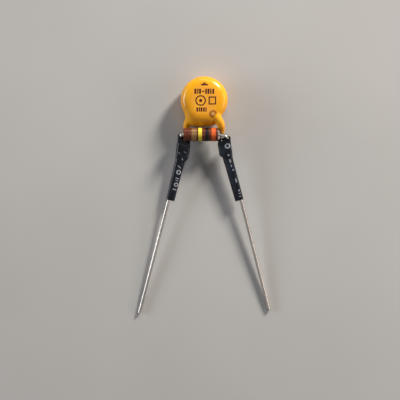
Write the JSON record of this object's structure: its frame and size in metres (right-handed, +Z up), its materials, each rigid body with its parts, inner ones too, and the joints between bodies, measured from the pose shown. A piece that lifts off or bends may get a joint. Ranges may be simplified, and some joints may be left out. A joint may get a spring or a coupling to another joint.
{
  "type": "ceramic disc capacitor",
  "caption": "Ceramic disc capacitor in yellow epoxy with a colour-banded resistor wired across its legs, sleeved splices and long splayed wire leads, lying face up.",
  "frame": {"origin": "middle of the whole part on the surface that it lies on", "axes": "+Z up, away from the disc's flat back; +Y from the lead tips to the disc; +X towards the right-hand lead"},
  "size_m": [0.0252, 0.0449, 0.0042],
  "materials": {
    "epoxy": "glossy dipped epoxy",
    "ceramic": "matte fired ceramic",
    "silver": "matte fired silver",
    "solder": "satin solder",
    "tinned_wire": "satin tin plate",
    "phenolic": "semi-matte moulded phenolic",
    "carbon": "matte carbon",
    "orange_paint": "satin paint",
    "black_paint": "satin paint",
    "yellow_paint": "satin paint",
    "gold_paint": "metallic gold paint",
    "sleeve": "satin polyolefin"
  },
  "bodies": {
    "root": {"epoxy_coating": "epoxy", "ceramic_disc": "ceramic", "front_electrode": "silver", "back_electrode": "silver", "front_solder": "solder", "back_solder": "solder", "front_lead": "tinned_wire", "back_lead": "tinned_wire", "resistor_case": "phenolic", "resistor_core": "carbon", "orange_band": "orange_paint", "black_band": "black_paint", "yellow_band": "yellow_paint", "gold_band": "gold_paint", "left_resistor_lead": "tinned_wire", "right_resistor_lead": "tinned_wire", "left_splice_solder": "solder", "right_splice_solder": "solder", "left_sleeve": "sleeve", "right_sleeve": "sleeve"}
  },
  "joints": []
}
